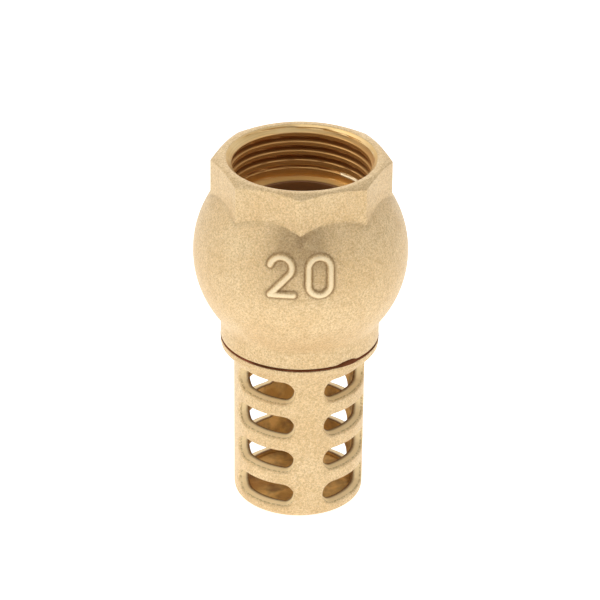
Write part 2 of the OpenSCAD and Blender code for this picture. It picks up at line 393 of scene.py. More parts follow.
def blasted_brass(name, pitting=0.00014, slotted=False, painted_light_and_tarnish=0.0):
    """Shot-blasted casting: pale, satin and finely pitted, with a strainer's inside where slotted."""
    n = material_nodes(name)
    grain = n.noise(3000, 3, roughness=0.75)
    speck = n.noise(6500, 1)
    cloud = n.noise(150, 3)
    blotch = n.noise(620, 2)
    pits = n.spread(n.noise(1300, 4, roughness=0.65), 0.62, 0.75)
    curve = n.add("NewGeometry").outputs["Pointiness"]
    hollow_shade_and_tarnish = n.spread(curve, 0.497, 0.44)
    tone = n.mix(n.spread(cloud, 0.35, 0.65), colour(0.81, 0.585, 0.31), colour(0.87, 0.665, 0.385))
    tone = n.mix(n.spread(blotch, 0.5, 0.3, 0.0, 0.3), tone, colour(0.60, 0.40, 0.18))
    tone = n.mix(n.spread(grain, 0.62, 0.36, 0.0, 0.75), tone, colour(0.46, 0.295, 0.125))
    tone = n.mix(n.spread(speck, 0.55, 0.7, 0.0, 0.35), tone, colour(0.99, 0.87, 0.64))
    tone = n.mix(n.times(pits, 0.35), tone, colour(0.42, 0.26, 0.11))
    # Darker in concave places: painted shade with some tarnishing.
    tone = n.mix(n.times(hollow_shade_and_tarnish, 0.7), tone, colour(0.36, 0.21, 0.08))
    metal, rough = 0.75, n.spread(grain, 0.2, 0.8, 0.38, 0.5)
    if slotted:
        tone, metal, rough = strainer_inside(n, tone, metal, rough, grain)
    # The point attribute read here: above zero, painted shade in the crease under the collar (with some
    # tarnishing), above the mark and at the digits' feet.
    marked = n.add("Attribute", {"attribute_name": "painted_light_and_tarnish"}).outputs["Fac"]
    shade_and_tarnish_share = n.math("MULTIPLY", marked, n.spread(grain, 0.25, 0.6, 1.0, 0.7), True)
    tone = n.mix(shade_and_tarnish_share, tone, colour(0.19, 0.105, 0.035))
    # Below zero: a painted highlight on the digits' tops.
    tone = n.mix(n.spread(marked, 0.0, -1.0), tone, colour(0.97, 0.80, 0.52))
    # A uniform darkening almost to black: painted shade, used for the inside of the body.
    if painted_light_and_tarnish:
        tone = n.mix(painted_light_and_tarnish, tone, colour(0.10, 0.045, 0.012))
    height = n.math("ADD", grain, n.times(speck, 0.5))
    soft = n.bump(n.noise(500, 2), 0.35, 0.00008)
    return n.finish(
        Base_Color=tone,
        Metallic=metal,
        Roughness=rough,
        Normal=n.bump(height, 1.0, pitting, soft),
    )


def thread_colour_and_painted_light(n, tone, grime_and_shade):
    """Colour and metal of the outlet thread: darker below its mouth with dirt and painted shade in the
    roots, painted light on the shoulder, painted shade at the lip of the bore below, and a painted
    highlight where it ends.
    """
    r, z = n.from_axis()
    x, y, _ = n.add("SeparateXYZ", Vector=n.place).outputs
    mouth_z, clean_z = top_z - 0.9, top_z - 1.4
    shoulder_z = top_z - thread_depth
    bore = n.times(n.zone(z, mouth_z, clean_z), n.zone(z, shoulder_z + 0.05, shoulder_z + 0.5))
    tone = n.mix(n.times(bore, 0.55), tone, colour(0.86, 0.46, 0.11))
    # Darker towards the roots: dirt and painted shade.
    root = n.zone(r, thread_crest_r + 0.1, thread_crest_r + 0.5, 0.5, 1.0)
    tone = n.mix(n.times(bore, root, grime_and_shade), tone, colour(0.33, 0.11, 0.014))
    # Painted light: the up-facing shoulder below the thread is paler, as if lit from above.
    tone = n.mix(n.zone(z, shoulder_z + 0.3, shoulder_z + 0.05), tone, colour(1.0, 0.68, 0.26))
    # Painted shade: the lip of the bore below the shoulder is darkened all round.
    hole = n.zone(r, guide_bore_r + 0.7, guide_bore_r + 0.2)
    tone = n.mix(hole, tone, colour(0.26, 0.12, 0.04))
    # Painted highlight where the thread runs out, at the back right.
    painted_end_highlight = n.times(n.zone(x, 6.8, 7.0), n.zone(x, 11.2, 9.5), n.zone(y, 1, 3))
    painted_end_highlight = n.times(painted_end_highlight, n.zone(z, shoulder_z + 1.1, shoulder_z + 1.3))
    painted_end_highlight = n.times(painted_end_highlight, n.zone(z, shoulder_z + 2.1, shoulder_z + 1.95))
    tone = n.mix(painted_end_highlight, tone, colour(0.98, 0.80, 0.52))
    metal = n.zone(z, clean_z, mouth_z, 0.75, 1.0)
    metal = n.times(metal, n.zone(z, shoulder_z + 0.05, shoulder_z + 0.3, 0.5, 1.0))
    return tone, metal


def lathe_brass(name, pale, deep, rough, streaks=0.0, grime_and_shade=0.0):
    """Machined brass with fine tool lines around the axis and a painted highlight on sharp edges; the
    thread's dirt with painted shade and painted light is for the outlet thread only.
    """
    n = material_nodes(name)
    lines = n.noise(1.0, 3, n.around_axis(15000), 0.6)
    cloud = n.noise(220, 3)
    curve = n.add("NewGeometry").outputs["Pointiness"]
    tone = n.mix(n.spread(cloud, 0.3, 0.7), deep, pale)
    # Painted highlight along sharp convex edges.
    tone = n.mix(n.spread(curve, 0.52, 0.6, 0.0, 0.4), tone, colour(0.95, 0.78, 0.5))
    coarse = n.noise(1.0, 2, n.around_axis(3600), 0.6)
    tone = n.mix(n.spread(coarse, 0.5, 0.66, 0.0, streaks), tone, colour(0.36, 0.22, 0.09))
    metal = 1.0
    if grime_and_shade:
        tone, metal = thread_colour_and_painted_light(n, tone, grime_and_shade)
    tangent = n.add("Tangent", {"direction_type": "RADIAL", "axis": "Z"}).outputs[0]
    brushed = {"Anisotropic": 0.5, "Tangent": tangent}
    return n.finish_fine(tone, lines, (rough, rough + 0.12), 0.3, tool_lines, Metallic=metal, **brushed)


def turned_steel():
    """Stainless bar turned in a lathe."""
    n = material_nodes("turned_steel")
    lines = n.noise(1.0, 3, n.around_axis(18000), 0.6)
    tone = n.mix(n.noise(300), colour(0.56, 0.565, 0.57), colour(0.68, 0.68, 0.68))
    return n.finish_fine(tone, lines, (0.22, 0.34), 0.25, tool_lines, Metallic=1.0)


def drawn_wire():
    """Stainless spring wire, faintly streaked."""
    n = material_nodes("drawn_wire")
    streak = n.noise(4000, 2)
    tone = n.mix(streak, colour(0.45, 0.455, 0.465), colour(0.62, 0.62, 0.63))
    return n.finish_fine(tone, streak, (0.22, 0.36), 0.2, tool_lines, Metallic=1.0)


def white_acetal():
    """Turned acetal plastic: off-white, waxy, with faint tool lines."""
    n = material_nodes("white_acetal")
    lines = n.noise(1.0, 2, n.around_axis(12000))
    tone = n.mix(n.noise(400), colour(0.78, 0.77, 0.72), colour(0.84, 0.83, 0.79))
    waxy = {"Subsurface_Weight": 0.15, "Subsurface_Radius": (0.0006, 0.0005, 0.0004)}
    return n.finish_fine(tone, lines, (0.38, 0.5), 0.2, tool_lines, **waxy)


def black_rubber():
    """Moulded nitrile rubber, matt, with a fine skin."""
    n = material_nodes("black_rubber")
    skin = n.noise(3000, 3)
    tone = n.mix(skin, colour(0.012, 0.012, 0.013), colour(0.03, 0.03, 0.032))
    return n.finish_fine(tone, skin, (0.6, 0.8), 0.3, 0.00002)


def red_fibre():
    """Pressed red-brown joint material, squeezed out unevenly."""
    n = material_nodes("red_fibre")
    fibre = n.noise(1800, 4, roughness=0.65)
    patch = n.noise(180, 2)
    tone = n.mix(n.spread(patch, 0.4, 0.65), colour(0.10, 0.03, 0.006), colour(0.30, 0.095, 0.045))
    tone = n.mix(n.times(fibre, 0.5), tone, colour(0.06, 0.02, 0.007))
    return n.finish_fine(tone, fibre, (0.6, 0.85), 0.5, 0.00004, Specular_IOR_Level=0.05)


brass_cast = blasted_brass("blasted_brass")
brass_strainer = blasted_brass("blasted_brass_strainer", slotted=True)
# The body's inside, darkened almost to black: painted shade.
brass_inner = blasted_brass("cast_brass_inside", painted_light_and_tarnish=0.85)
brass_faced = blasted_brass("faced_brass", pitting=0.00003)
brass_thread = lathe_brass(
    "threaded_brass", colour(0.90, 0.66, 0.33), colour(0.80, 0.54, 0.23), 0.33, streaks=0.5, grime_and_shade=0.78
)
brass_turned = lathe_brass("turned_brass", colour(0.86, 0.64, 0.34), colour(0.78, 0.54, 0.26), 0.22)
steel_turned = turned_steel()
steel_wire = drawn_wire()
plastic_white = white_acetal()
rubber_black = black_rubber()
fibre_red = red_fibre()


# ---- upper body


def polygon_radius(angle, sides, apothem, rounding):
    """Distance from the axis to a regular polygon with rounded corners, one corner at angle 0."""
    half = pi / sides
    off = abs((angle + half) % (2 * half) - half)
    to_centre = (apothem - rounding) / cos(half)
    arc_end = atan2(rounding * sin(half), to_centre + rounding * cos(half))
    if off < arc_end:
        side = to_centre * sin(off)
        return to_centre * cos(off) + sqrt(rounding * rounding - side * side)
    return apothem / cos(half - off)


def collar_radius(angle):
    """Radius of the octagonal collar, one corner to the front."""
    return polygon_radius(angle, 8, collar_apothem, collar_corner_round)


def distance_to_line(x, y, a, b):
    """Distance from (x, y) to the straight line from a to b."""
    run, here = Vector(b) - Vector(a), Vector((x, y)) - Vector(a)
    share = min(max(here.dot(run) / run.length_squared, 0), 1)
    return (here - run * share).length


def distance_to_arc(x, y, centre, radius, start, end):
    """Distance from (x, y) to an arc from start to end, in degrees from the +x direction."""
    dx, dy = x - centre[0], y - centre[1]
    angle = degrees(atan2(dy, dx))
    if start <= angle <= end:
        return abs(hypot(dx, dy) - radius)
    tips = [radians(a) for a in (start, end)]
    return min(hypot(dx - radius * cos(a), dy - radius * sin(a)) for a in tips)


def mark_distance(x, y):
    """Distance from a point of the ball's front to the middle of the nearest stroke of the digits."""
    r = 0.31 * mark_height - mark_stroke / 2
    side = mark_height / 2 - mark_stroke / 2 - r
    spread = 0.42 * mark_height
    low = -mark_height / 2 + mark_stroke / 2
    x_two, x_zero = x + spread, x - spread
    bow = (0, side)
    bow_low, bow_high = -35, 165
    hip_angle = radians(bow_low)
    hip = (r * cos(hip_angle), side + r * sin(hip_angle))
    two = min(
        distance_to_arc(x_two, y, bow, r, bow_low, bow_high),
        distance_to_line(x_two, y, hip, (-r, low)),
        distance_to_line(x_two, y, (-r, low), (r + mark_stroke / 4, low)),
    )
    zero = abs(distance_to_line(x_zero, y, (0, -side), (0, side)) - r)
    return min(two, zero)


def mark_edge(angle, z):
    """Distance from the edge of the nearest stroke, below zero inside it, at this place on the ball."""
    r = sqrt(max(ball_r**2 - (z - ball_z) ** 2, 0))
    x, y, up = r * cos(angle), r * sin(angle), z - ball_z
    across = y * sin(mark_latitude) + up * cos(mark_latitude)
    if y > 0 or abs(x) > mark_height or abs(across) > 0.7 * mark_height:
        return mark_height
    return mark_distance(x, across) - mark_stroke / 2


def mark_rise(angle, z):
    """How far the digits lift the ball's surface at this angle and height."""
    edge = mark_edge(angle, z)
    flank, crown = 0.3, 0.12
    rise = (mark_relief - crown) * smooth_step(0.5 - edge / flank)
    return rise + crown * smooth_step(-2 * edge / mark_stroke)


def mark_shade_and_highlight(angle, z):
    """Painted shade at the foot of each stroke; below zero where a painted highlight lies on the stroke's
    top.
    """
    inset, foot_width = 0.1, 0.8
    outside = mark_edge(angle, z) + inset
    if outside < 0:
        # Inside the stroke: a painted highlight on its top.
        return -0.7 * smooth_step(-outside / 0.25)
    # Outside the stroke: painted shade along its foot.
    return 0.8 * smooth_step(outside / 0.15) * smooth_step(1 - (outside - inset) / foot_width)


def outer_radius(angle, z):
    """Radius of the casting's outside: ball, neck fillet and octagonal collar, with the digits."""
    up = z - ball_z
    ball = sqrt(max(ball_r**2 - up**2, 0.01))
    neck_fillet, collar_fillet = 1.1, 0.4
    if z < ball_z:
        return smooth_max(ball, neck_r, neck_fillet) + mark_rise(angle, z)
    return smooth_max(ball, collar_radius(angle), collar_fillet) + mark_rise(angle, z)


def thread_radius(angle, z):
    """Radius of the right-handed outlet thread: flat crests, rounded roots, and a shallow run-out."""
    half_angle, root_round, crest_round = radians(27.5), 0.25, 0.12
    run_out_turns, run_out_rise = 1.3, 0.66
    off_root = abs((z / thread_pitch - angle / TAU - thread_phase) % 1 - 0.5) * thread_pitch
    depth = (thread_root_half - off_root) / tan(half_angle)
    depth = thread_height - smooth_max(thread_height - depth, 0, root_round)
    run_out = smooth_step((thread_full_z - z) / (run_out_turns * thread_pitch))
    return thread_crest_r + smooth_max(depth - run_out_rise * thread_height * run_out, 0, crest_round)


def painted_shade_patch(angle, z):
    """Painted shade above the mark: a dark patch at the front corner inside a wider, fainter one."""
    off_front = acos(max(-sin(angle), 0))
    # Strength, half width and soft edge in radians, lower end above the ball's middle and rise.
    patches = ((0.5, 0.361, 0.19, 1.5, 5), (0.2, 0.504, 0.28, -3, 4))
    return max(
        share * smooth_step((half_width - off_front) / edge) * smooth_step((z - ball_z - low) / rise)
        for share, half_width, edge, low, rise in patches
    )


def crease_shade_and_tarnish(angle, z):
    """Painted shade with some tarnishing in the crease below the collar, mostly at its corners, with the
    painted shade above the mark and the digits' painted shade and highlight.
    """
    collar = collar_radius(angle)
    crease_z = ball_z + sqrt(ball_r**2 - collar**2)
    corner = (collar - collar_apothem) / (collar_apothem / cos(pi / 8) - collar_apothem)
    front = max(-sin(angle), 0) ** 8
    # Darker in the crease and most at the front corner: painted shade with some tarnishing.
    reach = 0.8 + 4.6 * corner * front
    share = 0.13 + corner * (0.15 + 0.62 * front)
    below, least_below = crease_z - z, -0.2
    crease = 0
    if below > least_below:
        crease = max(share * smooth_step(1 - below / reach), painted_shade_patch(angle, z))
    mark = mark_shade_and_highlight(angle, z)
    return max(crease, mark) if mark >= 0 else mark


def body_angles():
    """Angles around the body: fine at the front digits and at the octagon's corners."""
    fine, coarse = 0.45, 2.2
    corner_zone, mark_zone = 2.3, 22
    front = -90
    turns = spaced(front - mark_zone, front + mark_zone, fine)
    here = front + mark_zone
    for corner in range(front + 45, front + 360, 45):
        turns += spaced(here, corner - corner_zone, coarse)
        turns += spaced(corner - corner_zone, corner + corner_zone, fine)
        here = corner + corner_zone
    turns += spaced(here, front + 360 - mark_zone, coarse)
    return [radians(turn) for turn in turns]


def arc_points(centre_r, centre_z, radius, start, end, steps):
    """Points (r, z) along an arc between two angles in degrees above the outward direction."""
    angles = [radians(start + (end - start) * k / steps) for k in range(steps + 1)]
    return [(centre_r + radius * cos(a), centre_z + radius * sin(a)) for a in angles]


def body_outside(angle):
    """The outside of the body at this angle, from the joint up to the outer chamfer."""
    bottom_round = 0.25
    collar_low = ball_z + 12.6
    collar = collar_radius(angle)
    rim = top_z - (collar - top_face_r) * tan(top_chamfer)
    heights = spaced(neck_z + bottom_round, neck_z + 3.2, 0.4)
    heights += spaced(neck_z + 3.2, ball_z - 0.8, 0.42)
    heights += spaced(ball_z - 0.8, ball_z + 9.0, 0.16)
    heights += spaced(ball_z + 9.0, collar_low, 0.13)
    heights += [collar_low + (rim - collar_low) * share for share in (0, 0.3, 0.6, 0.8, 0.92, 0.97)]
    line = arc_points(neck_r - bottom_round, neck_z + bottom_round, bottom_round, -90, 0, 4)[:-1]
    line += [(outer_radius(angle, z), z) for z in heights]
    return line, collar, rim


def body_inside():
    """The inside of the body from the guide's ledge down to the joint, the same at every angle."""
    roof_z = ledge_z - ledge_t
    chamber_r = ball_r - wall
    chamber_low = asin(socket_r / chamber_r)
    roof_end_r = chamber_r * cos(radians(14.5))
    shoulder_z = top_z - thread_depth
    line = [(thread_crest_r, shoulder_z), (guide_bore_r + 0.15, shoulder_z)]
    line += [(guide_bore_r, shoulder_z - 0.15), (guide_bore_r, groove_top)]
    groove_low = spider_low.z + 3.1
    line += [(groove_r, groove_top), (groove_r, groove_low), (guide_bore_r, groove_low)]
    line += [(guide_bore_r, ledge_z), (ledge_r + 0.2, ledge_z), (ledge_r, ledge_z - 0.2)]
    line += [(ledge_r, roof_z + 0.2), (ledge_r + 0.2, roof_z)]
    roof_steps = 5
    for k in range(1, roof_steps):
        r = ledge_r + (roof_end_r - 0.4 - ledge_r) * k / roof_steps
        line.append((r, roof_z + (r - ledge_r) * tan(roof_slope)))
    line += arc_points(0, ball_z, chamber_r, 12, degrees(chamber_low) - 90, 30)
    line += [(socket_r, z) for z in (ball_z - 12.5, neck_z + 2, neck_z + 0.5)]
    line += [(socket_r + 0.5, neck_z), (neck_r - 0.6, neck_z)]
    return line


def make_upper_body():
    """The body casting, one closed surface: cast outside, turned top, mouth and thread."""
    inside = body_inside()
    shoulder_z = top_z - thread_depth
    turned_rows, bottom_rows = 10, 3
    bounds = {}

    def outline_at(angle):
        line, collar, rim = body_outside(angle)
        edge = 0.12
        line += [(collar, rim - edge), (collar - edge * 0.3, rim - edge * 0.2)]
        bounds["faced"] = len(line)
        line += [
            (collar + (top_face_r - collar) * share, rim + (top_z - rim) * share)
            for share in (0.1, 0.35, 0.65, 0.92)
        ]
        mouth_r = thread_crest_r + mouth_chamfer
        line += [(top_face_r - 0.1, top_z - 0.004), (top_face_r - 0.3, top_z)]
        line += [(mouth_r + 0.3, top_z), (mouth_r + 0.1, top_z - 0.012)]
        bounds["threaded"] = len(line)
        for z in spaced(top_z - 0.06, shoulder_z, 0.11):
            cone = mouth_r - (top_z - z) + 0.04
            line.append((max(cone, thread_radius(angle, z)), z))
        bounds["inside"] = len(line) + turned_rows
        return line + inside

    angles = body_angles()
    points, faces = lathe_mesh(angles, outline_at)
    rows = len(points) // len(angles)
    outside_top = bounds["faced"]
    # Per point: painted shade and some tarnishing under the collar, and painted shade and highlight at
    # the digits.
    painted_light_and_tarnish = []
    for angle, start in zip(angles, range(0, len(points), rows)):
        heights = [points[start + row][2] for row in range(outside_top)]
        painted_light_and_tarnish += [crease_shade_and_tarnish(angle, z) for z in heights] + [0.0] * (rows - outside_top)
    # The rows of the bottom come last and look like the outside, which comes first.
    starts = [bounds["faced"], bounds["threaded"], bounds["inside"], rows - bottom_rows]
    materials = [brass_cast, brass_faced, brass_thread, brass_inner]
    kinds = [sum(face % rows >= start for start in starts) % len(materials) for face in range(len(faces))]
    mesh_piece(
        "body_casting", points, faces, "housing", ["upper_body"], materials, kinds, painted_light_and_tarnish
    )


# ---- strainer

slot_half = (TAU / slots_per_row - rib_angle) / 2 - asin(slot_height / 2 / strainer_r)
slot_run = slot_half * strainer_r
slot_round = slot_height / 2
cell_half = pi / slots_per_row * strainer_r
first_slot = -pi / 2 + rib_turn + pi / slots_per_row
slots_top = slot_top_z + (slot_pitch - slot_height) / 2


def slot_outline():
    """Samples around one slot: (point, outward direction, point on the cell's border), each (u, z)."""
    half_pitch = slot_pitch / 2
    corner = atan2(half_pitch, cell_half - slot_run)
    straight, fan, flank = 16, 8, 8
    angles = [pi / 2 + (corner - pi / 2) * k / fan for k in range(fan)]
    angles += [corner - 2 * corner * k / flank for k in range(flank)]
    angles += [-corner + (corner - pi / 2) * k / fan for k in range(fan)]
    samples = []
    for side in (1, -1):
        for k in range(straight):
            u = side * slot_run * (2 * k / straight - 1)
            samples.append(((u, side * slot_round), (0, side), (u, side * half_pitch)))
        for a in angles:
            du, dz = cos(a), sin(a)
            if abs(a) > corner:
                border = (slot_run + half_pitch / abs(tan(a)), copysign(half_pitch, a))
            else:
                border = (cell_half, (cell_half - slot_run) * tan(a))
            point = (slot_run + slot_round * du, slot_round * dz)
            samples.append(tuple((side * p, side * q) for p, q in (point, (du, dz), border)))
    return samples


def wall_radius(z):
    """Outside radius of the strainer's drafted wall and of its rounded lower edge."""
    wall = strainer_base_r + (strainer_r - strainer_base_r) * z / slots_top
    below = max(base_round - z, 0)
    return wall - base_round + sqrt(base_round**2 - below**2)


def slot_section(sample):
    """From a cell's border outside, through the slot, to its border inside: (u, z, depth, sink)."""
    (u, z), (du, dz), (border_u, border_z) = sample
    lip, inner_lip, steps, rings = 0.45, 0.25, 4, 4

    def beside(off, depth, sink):
        return (u + du * off, z + dz * off, depth, sink)

    def towards_border(off, share, depth):
        start_u, start_z = u + du * off, z + dz * off
        return (start_u + (border_u - start_u) * share, start_z + (border_z - start_z) * share, depth, 0)

    turns = [pi / 2 * k / steps for k in range(steps + 1)]
    line = [towards_border(lip, 1 - k / rings, 0) for k in range(rings)]
    line += [beside(lip * (1 - sin(a)), 0, lip * (1 - cos(a))) for a in turns]
    line.append(beside(-slot_flare / 2, 0.5, 0))
    line += [beside(inner_lip * (1 - cos(a)) - slot_flare, 1, inner_lip * (1 - sin(a))) for a in turns]
    line += [towards_border(inner_lip - slot_flare, k / rings, 1) for k in range(1, rings + 1)]
    return line


def strainer_cell(turn, middle, points, faces):
    """One slot with its share of the wall around it."""
    sections = [slot_section(s) for s in slot_outline()]
    start, rows = len(points), len(sections[0])
    for line in sections:
        for u, dz, depth, sink in line:
            z = middle + dz
            outside, inside = wall_radius(z) - sink, strainer_bore_r + sink
            r = outside + (inside - outside) * depth
            points.append(around(r, turn + u / strainer_r, z))
    for i in range(len(sections)):
        here, there = start + i * rows, start + (i + 1) % len(sections) * rows
        for j in range(rows - 1):
            faces.append((here + j, here + j + 1, there + j + 1, there + j))


def column_angles():
    """Angles of the points along the top border of one ring of cells."""
    tiny = 1e-6
    row = sorted({round(u, 6) for _, _, (u, z) in slot_outline() if z > slot_pitch / 2 - tiny})[:-1]
    turns = [first_slot + i * TAU / slots_per_row for i in range(slots_per_row)]
    return [turn + u / strainer_r for turn in turns for u in row]


def add_lathe_strip(line, angles, points, faces):
    """A strip of surface from an open outline; ends on the axis close to one point."""
    start = len(points)
    for a in angles:
        points.extend(around(r, a, z) for r, z in line)
    rows = len(line)
    for i in range(len(angles)):
        here, there = start + i * rows, start + (i + 1) % len(angles) * rows
        for j in range(rows - 1):
            faces.append((here + j, there + j, there + j + 1, here + j + 1))


def make_strainer():
    """The strainer casting with its slots, closed base, flange, spigot and seat."""
    points, faces = [], []
    for row in range(slot_rows):
        middle = slot_top_z - slot_round - row * slot_pitch
        for i in range(slots_per_row):
            strainer_cell(first_slot + i * TAU / slots_per_row, middle, points, faces)
    angles = column_angles()
    slots_low = slots_top - slot_rows * slot_pitch
    flange_z = flange_top - flange_t
    lip_w, lip_h = 0.9, 0.6
    relief_z, seat_low_z = 28.5, 29.4
    upper = rounded_outline([
        (wall_radius(slots_top), slots_top, 0),
        (wall_radius(slots_top), flange_z, 0.6),
        (neck_r, flange_z, 0.85),
        (neck_r, flange_top, 0.2),
        (socket_r - 0.1, flange_top, 0),
        (socket_r - 0.1, spigot_z - lip_h, 0.3),
        (seat_bore_r + 2 * lip_w, spigot_z - lip_h, 0),
        (seat_bore_r + lip_w, spigot_z, 0.15),
        (seat_bore_r, spigot_z, 0.15),
        (seat_bore_r, seat_low_z, 0.3),
        (strainer_bore_r, relief_z, 0.2),
        (strainer_bore_r, slots_top, 0),
    ])
    lower = rounded_outline([
        (strainer_bore_r, slots_low, 0),
        (strainer_bore_r, floor_t, 0.35),
        (0.5, floor_t, 0),
        (0, floor_t, 0),
    ])
    round_end = degrees(asin(slots_low / base_round - 1))
    under = [(0, 0), (0.5, 0), (strainer_base_r / 2, 0)]
    under += arc_points(strainer_base_r - base_round, base_round, base_round, -90, round_end, 6)
    under[-1] = (wall_radius(slots_low), slots_low)
    for line in (upper, lower, under):
        add_lathe_strip(line, angles, points, faces)
    mesh_piece("strainer_casting", points, faces, "housing", ["strainer"], [brass_strainer])


# ---- joint and inner parts


def ring_bulge(angle):
    """Share of the squeezed-out lens of joint material that shows at this angle."""
    middle, half_width = radians(-53), radians(12)
    return smooth_step(1.35 * (1 - abs(angle - middle) / half_width))


def make_joint_ring():
    """The thin joint ring, squeezed out unevenly between the body and the strainer's flange."""
    middle = (gasket_low.z + gasket_high.z) / 2
    inner_r = gasket_high.x - 1.6

    def section(angle):
        turned = (angle + pi) % TAU - pi
        bulge = ring_bulge(turned)
        wave = noise.noise((8 * cos(angle), 8 * sin(angle), 0))
        ripple = noise.noise((45 * cos(angle), 45 * sin(angle), 3))
        right = smooth_step((turned + radians(60)) / radians(25))
        right *= smooth_step((radians(40) - turned) / radians(60))
        half = 0.17 + 0.035 * wave + 0.03 * ripple + 0.1 * right + 0.3 * bulge
        centre = middle + 0.22 * bulge + 0.02 * wave
        outer = neck_r + 0.03 + 0.03 * wave + 0.14 * bulge
        return [
            (inner_r, centre - half), (outer - 0.12, centre - half), (outer - 0.02, centre - 0.6 * half),
            (outer, centre), (outer - 0.02, centre + 0.6 * half), (outer - 0.12, centre + half),
            (inner_r, centre + half),
        ]

    points, faces = lathe_mesh(even_angles(540), section)
    mesh_piece("joint_ring", points, faces, "housing", ["joint_gasket"], [fibre_red])


def make_spider():
    """The stem guide: rim, three arms and hub with fillets, fused from overlapping solids."""
    rim_r, hub_r, bore = spider_high.x, 4.8, bush_high_r
    arms, arm_half_w, rim_in = 3, 1.2, rim_r - 1.4
    low, high = ledge_z, ring_low.z
    rim = [(rim_in, low, 0.25), (rim_r, low, 0.2), (rim_r, high, 0.2), (rim_in, high, 0.25)]
    hub_low, hub_high = spider_low.z, spider_high.z
    hub = [(bore, hub_low, 0.2), (hub_r, hub_low, 0.35), (hub_r, hub_high, 0.35), (bore, hub_high, 0.2)]
    points, faces = [], []
    for corners in (rim, hub):
        outline = rounded_outline(corners)
        start = len(points)
        ring_points, ring_faces = lathe_mesh(even_angles(160), lambda angle: outline)
        points += ring_points
        faces += [tuple(start + v for v in face) for face in ring_faces]
    for i in range(arms):
        turn = pi / 2 + i * TAU / arms
        add_arm(turn, hub_r - 0.8, rim_r - 1.0, arm_half_w, low + 0.1, high - 0.1, points, faces)
    piece = mesh_piece(
        "stem_guide", points, faces, "housing", ["guide_spider"], [brass_turned]
    )
    fuse(piece, 0.13, 5)


def add_arm(turn, start_r, end_r, half_w, low, high, points, faces):
    """One straight arm with an oval section, from the hub to the rim."""
    sides, stations = 24, 12
    first = len(points)
    middle, half_h = (low + high) / 2, (high - low) / 2
    for s in range(stations + 1):
        share = s / stations
        r = start_r + (end_r - start_r) * share
        flare = 1 + 0.35 * (2 * share - 1) ** 4
        for a in even_angles(sides):
            across = half_w * flare * copysign(abs(cos(a)) ** 0.5, cos(a))
            up = half_h * copysign(abs(sin(a)) ** 0.5, sin(a))
            points.append((
                r * cos(turn) - across * sin(turn),
                r * sin(turn) + across * cos(turn),
                middle + up,
            ))
    for s in range(stations):
        for k in range(sides):
            here, side = first + s * sides + k, first + s * sides + (k + 1) % sides
            faces.append((here, here + sides, side + sides, side))
    faces.append(tuple(first + k for k in range(sides)))
    faces.append(tuple(first + stations * sides + k for k in reversed(range(sides))))


def fuse(piece, voxel, smoothing):
    """Makes one skin of overlapping solids and softens the corners between them."""
    remesh = piece.modifiers.new("fuse", "REMESH")
    remesh.mode = "VOXEL"
    remesh.voxel_size = voxel * MM
    remesh.use_smooth_shade = True
    smooth = piece.modifiers.new("soften", "SMOOTH")
    smooth.iterations = smoothing


def make_bush():
    """Flanged plain bearing pressed into the guide's hub."""
    low, high = bush_low.z, bush_high.z
    bore, outer, flange = stem_r + 0.06, bush_high_r, bush_high.x
    lathe_piece("stem_bush", [
        (bore, low, 0.2),
        (flange, low, 0.12),
        (flange, low + 0.5, 0.12),
        (outer, low + 0.5, 0.08),
        (outer, high, 0.2),
        (bore, high, 0.3),
    ], "housing", ["guide_bush"], plastic_white)


def make_disc():
    """Turned valve disc with a relief in its top and a lip around the seal."""
    low, high, rim = disc_low.z, disc_high.z, disc_high.x
    lip_r = seal_high.x + 0.05
    lathe_piece("disc_plate", [
        (thread_hole_r, low + 1.05, 0),
        (lip_r, low + 1.05, 0),
        (lip_r, low, 0.08),
        (rim, low, 0.15),
        (rim, high, 0.3),
        (9.6, high, 0.12),
        (9.2, high - 0.35, 0.25),
        (6.0, high - 0.35, 0.25),
        (5.6, high, 0.12),
        (thread_hole_r, high, 0.1),
    ], "plunger", ["valve_disc"], brass_turned)


def make_seal():
    """Rubber seal with the shallow print of the seat's lip in its underside."""
    low, high, rim = seal_low.z, seal_high.z, seal_high.x
    print_r, print_w = seat_bore_r + 0.45, 0.5
    lathe_piece("rubber_seal", [
        (thread_hole_r, low, 0.1),
        (print_r - print_w, low, 0.1),
        (print_r - 0.25, low + 0.05, 0.1),
        (print_r + 0.25, low + 0.05, 0.1),
        (print_r + print_w, low, 0.1),
        (rim, low, 0.35),
        (rim, high, 0.15),
        (thread_hole_r, high, 0.1),
    ], "plunger", ["disc_seal"], rubber_black)


def make_clamp():
    """Brass washer that holds the seal against the disc."""
    low, high, rim = clamp_low.z, clamp_high.z, clamp_high.x
    lathe_piece("seal_washer", [
        (thread_hole_r, low, 0.12),
        (rim - 0.6, low, 0.2),
        (rim, low + 0.5, 0.2),
        (rim, high, 0.12),
        (thread_hole_r, high, 0.1),
    ], "plunger", ["seal_clamp"], brass_turned)


def stem_radius(angle, z):
    """Radius of the stem's threaded end, a fine right-handed thread."""
    pitch, depth = 0.7, 0.38
    phase = (z / pitch - angle / TAU) % 1
    fade = smooth_step((disc_low.z - 0.6 - z) / 0.6) * smooth_step((z - stem_low.z - 0.3) / 0.5)
    return stem_thread_r - depth * fade * (0.5 - 0.5 * cos(TAU * phase)) ** 0.8


